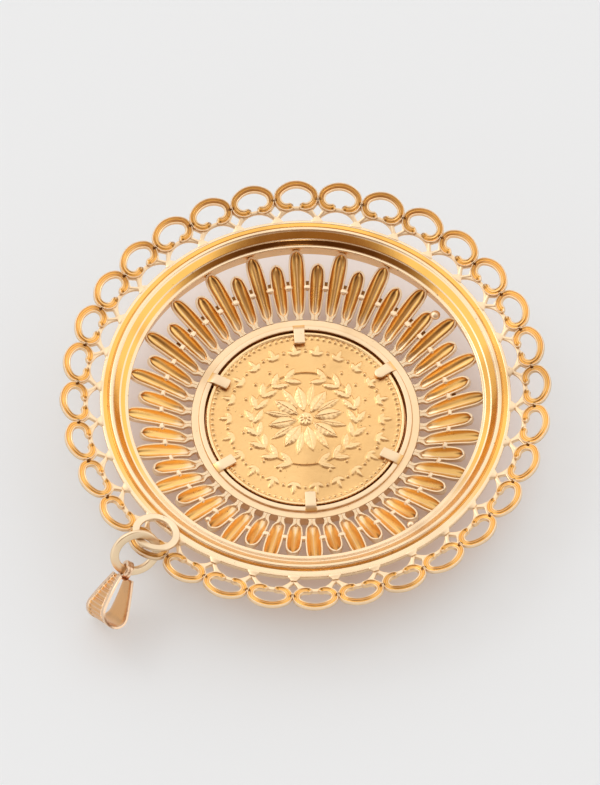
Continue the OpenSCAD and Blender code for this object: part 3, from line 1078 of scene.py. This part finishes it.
def fold_line():
    """Side view of the strip's outside: one leg, the fold, the other leg."""
    k = np.linspace(0, 1, 60)
    start = (FOLD_X + FOLD_R * math.cos(math.radians(80)), FOLD_R * math.sin(math.radians(80)))
    x = (1 - k) * start[0] + k * TIP_X
    y = (1 - k) * start[1] + k * 0.4 + 0.48 * k * (1 - k)
    keep = x < -EYE_R
    upper = np.stack([x[keep], y[keep]], axis=-1)[::-1]
    turn = np.radians(np.linspace(84, 276, 34))
    fold = np.stack([FOLD_X + FOLD_R * np.cos(turn), FOLD_R * np.sin(turn)], axis=-1)
    lower = upper[::-1] * [1, -1]
    return np.vstack([upper, fold, lower])


def bail_relief(t, half, run):
    """How far the outside is sunk, and how deep its tone is: plain borders, two grooves, crossbars."""
    across = (1 - abs(t)) * half
    if across < BORDER_END:
        return 0.0, 0.05
    if across < GROOVE_END:
        return 0.13, 0.9
    if across < RIDGE_END or half < 1.3:
        return 0.0, 0.1
    bars = math.cos(2 * math.pi * run / BAR_STEP)
    return 0.12 - 0.1 * max(0.0, bars) ** 0.6, 1.2 - 0.9 * max(0.0, bars)


print("the bail is", BAIL_W, "mm wide at the fold and", TIP_W, "mm at the tip")

# %% [markdown]
# ## Folding the strip
# For each point of the side view, the strip gets a row of points across its outside with the relief, and a
# row back along its plain inside. The points across are closer together near the edges, where the borders
# are. The two inner walls may touch near the tip, so they are held just apart there.

# %% The folded strip
INNER_GAP = 0.03


def corner_inset(t):
    """The outermost points lie a little further in, which rounds the strip's edges."""
    return 0.05 if abs(t) > 0.995 else 0.0


def bail_strip():
    """The strip along X with its fold at the low end, as a skin with an outside and an inside."""
    line = fold_line()
    tangent = np.gradient(line, axis=0)
    tangent /= np.linalg.norm(tangent, axis=1)[:, None]
    inward = np.stack([-tangent[:, 1], tangent[:, 0]], axis=-1)
    run = np.concatenate([[0], np.cumsum(np.linalg.norm(np.diff(line, axis=0), axis=1))])
    rows, depths = [], []
    across = np.sin(np.linspace(-1, 1, 45) * math.pi / 2) * 0.25 + np.linspace(-1, 1, 45) * 0.75
    for p, n, s in zip(line, inward, run):
        half = BAIL_W / 2 - TAPER * (p[0] - LOW_X)
        # Inside the strip the tone deepens to brown toward the fold, painted shade in the crease.
        inside_tone = 0.95 + 0.4 * math.exp(-((p[0] - FOLD_X + 0.6) / 0.7) ** 2)
        row, depth = [], []
        for t in across:
            sunk, tone = bail_relief(t, half, s)
            x, y = p + n * (sunk + corner_inset(t))
            row.append([x, y, t * half])
            depth.append(tone)
        for t in np.linspace(1, -1, 9):
            x, y = p + n * (BAIL_WALL - corner_inset(t))
            if p[0] > FOLD_X:
                y = max(y, INNER_GAP) if p[1] > 0 else min(y, -INNER_GAP)
            row.append([x, y, t * half])
            depth.append(inside_tone if abs(t) < 0.95 else 0.1)
        rows.append(row)
        depths.append(depth)
    return swept(np.array(rows), np.array(depths))


strip_part = bail_strip()
print("the strip has", len(strip_part[0]), "points")

# %% [markdown]
# ## The eye of the bail
# The eye at the narrow end is a thick flat ring, and its hole goes straight through both walls of the strip.
# A fine notch round its outside shows where the two ends of the strip meet. Strip and eye are joined into one
# piece and placed with the centre and the three angles of the solid.

# %% The eye, and the whole bail
def bail_eye():
    """A ring about Y with a notch round its outside."""
    outline = rounded([(EYE_R, -0.38), (EYE_W - 0.02, -0.38), (EYE_W - 0.02, -0.03), (EYE_W - 0.1, 0.0),
                       (EYE_W - 0.02, 0.03), (EYE_W - 0.02, 0.38), (EYE_R, 0.38)], 0.08)
    r, along = outline.T
    rows = []
    for a in np.linspace(0, 2 * math.pi, 48, endpoint=False):
        rows.append(np.stack([r * math.cos(a), along, r * math.sin(a)], axis=-1))
    return one_tone(rows, 0.1, closed=True)


points, faces, depths = joined([strip_part, bail_eye()])
points = placed(points, BAIL_AT, BAIL_TURN)
make_piece("bail_folded", (points, faces, depths), "bail", "ring_gold", bail_gold, sharp=35)

# %% [markdown]
# ## The floor
# The pendant lies on pale paper in strong, even light. A plain sheet would look grey beside bright gold, so
# the paper glows faintly. Under the piece a painted shadow and painted warm light stand in for the shade of
# the gold and the light it throws back: the paper's colour is painted warmer there, and its glow weaker and
# warmer. Two round masks, each measured from a place near the coin's middle, fade from these painted states
# to the plain paper. From here on, lengths are in metres.

# %% The paper
FLOOR_HALF = 1.5
PAPER_LOW, PAPER_HIGH = (0.505, 0.525, 0.53), (0.52, 0.54, 0.545)
# Painted warm light under the piece, and a painted shadow in its glow.
PAPER_UNDER = (0.57, 0.485, 0.44)
GLOW_UNDER = (0.42, 0.28, 0.2)
GLOW_FADE = (0.0135, 0.0252)
COLOUR_FADE = (0.019, 0.0265)


def make_floor():
    """A square sheet at Z = 0 with its own finish."""
    mesh = bpy.data.meshes.new("floor")
    corners = [(x * FLOOR_HALF, y * FLOOR_HALF, 0) for x, y in ((-1, -1), (1, -1), (1, 1), (-1, 1))]
    mesh.from_pydata(corners, [], [(0, 1, 2, 3)])
    floor = bpy.data.objects.new("floor", mesh)
    bpy.context.scene.collection.objects.link(floor)
    paint = Paint(bpy.data.materials.new("floor_paper"))
    place = paint.add("ShaderNodeTexCoord", {}, {}, output="Object")
    paper = paint.blend(paint.noise(place, 14.0, 2.0), PAPER_LOW, PAPER_HIGH)
    x = paint.add("ShaderNodeSeparateXYZ", {}, [place], output="X")
    y = paint.add("ShaderNodeSeparateXYZ", {}, [place], output="Y")
    right, near, behind = x - 0.001, y + 0.003, y - 0.002
    # The first mask paints the shadow under the piece into the glow, the second the gold's warm light.
    glow = paint.range((right * right + near * near) ** 0.5, *GLOW_FADE)
    clear = paint.range((right * right + behind * behind) ** 0.5, *COLOUR_FADE)
    inputs = paint.shader.inputs
    inputs["Roughness"].default_value = 0.7
    inputs["Emission Strength"].default_value = 0.33
    paint.feed(inputs["Base Color"], paint.blend(clear, PAPER_UNDER, paper))
    paint.feed(inputs["Emission Color"], paint.blend(glow, GLOW_UNDER, (1.0, 1.0, 1.0)))
    mesh.materials.append(paint.material)


make_floor()
print("a sheet of paper", 2 * FLOOR_HALF, "m wide")

# %% [markdown]
# ## The room
# Polished gold shows what is round it, so the room matters more than any lamp. It is bright on all sides,
# with one dark, warm area above, on the camera's side. Surfaces that face the camera mirror that area and
# turn a deep orange, and level ones mirror the bright walls and stay pale. A picture of a room would do the
# same, but a direction and a soft step are enough.

# %% A bright room with a dark area above
DARK_AREA = (0.23, 0.14, 0.09)
BRIGHT_WALLS = (0.98, 0.985, 1.0)
DARK_NEAR, DARK_UP = 0.53, 0.848
DARK_FADE = (0.85, 0.64)


def make_world(strength):
    """A room whose colour depends only on the direction."""
    world = bpy.data.worlds.new("room")
    paint = Paint(world)
    direction = paint.add("ShaderNodeTexCoord", {}, {}, output="Generated")
    away = paint.add("ShaderNodeSeparateXYZ", {}, [direction], output="Y")
    up = paint.add("ShaderNodeSeparateXYZ", {}, [direction], output="Z")
    lit = paint.range(up * DARK_UP - away * DARK_NEAR, *DARK_FADE)
    background = paint.tree.nodes["Background"]
    background.inputs["Strength"].default_value = strength
    paint.feed(background.inputs["Color"], paint.blend(lit, DARK_AREA, BRIGHT_WALLS))
    bpy.context.scene.world = world


make_world(1.28)
print("room:", bpy.context.scene.world.name)

# %% [markdown]
# ## Two lamps
# A weak square panel, high at the left and behind, throws the soft shadow, and a small one just above the
# camera sets sparks on the edges. A sun lamp would give a hard shadow, but the size of a panel softens it.
# Both point at the origin. The Standard view keeps the colours as they are, without a film curve.

# %% The lamps and the view
def make_panel(name, place, size, power):
    """A square lamp at a place, turned toward the origin."""
    data = bpy.data.lights.new(name, "AREA")
    data.shape = "SQUARE"
    data.size = size
    data.energy = power
    panel = bpy.data.objects.new(name, data)
    panel.location = place
    panel.rotation_euler = (-Vector(place)).to_track_quat("-Z", "Y").to_euler()
    bpy.context.scene.collection.objects.link(panel)


make_panel("window_left", (-0.35, 0.30, 0.55), 0.2, 0.3)
make_panel("lamp_front", (0.03, -0.25, 0.62), 0.08, 0.1)
bpy.context.scene.view_settings.view_transform = "Standard"
print("lamps:", [item.name for item in bpy.data.lights])

# %% [markdown]
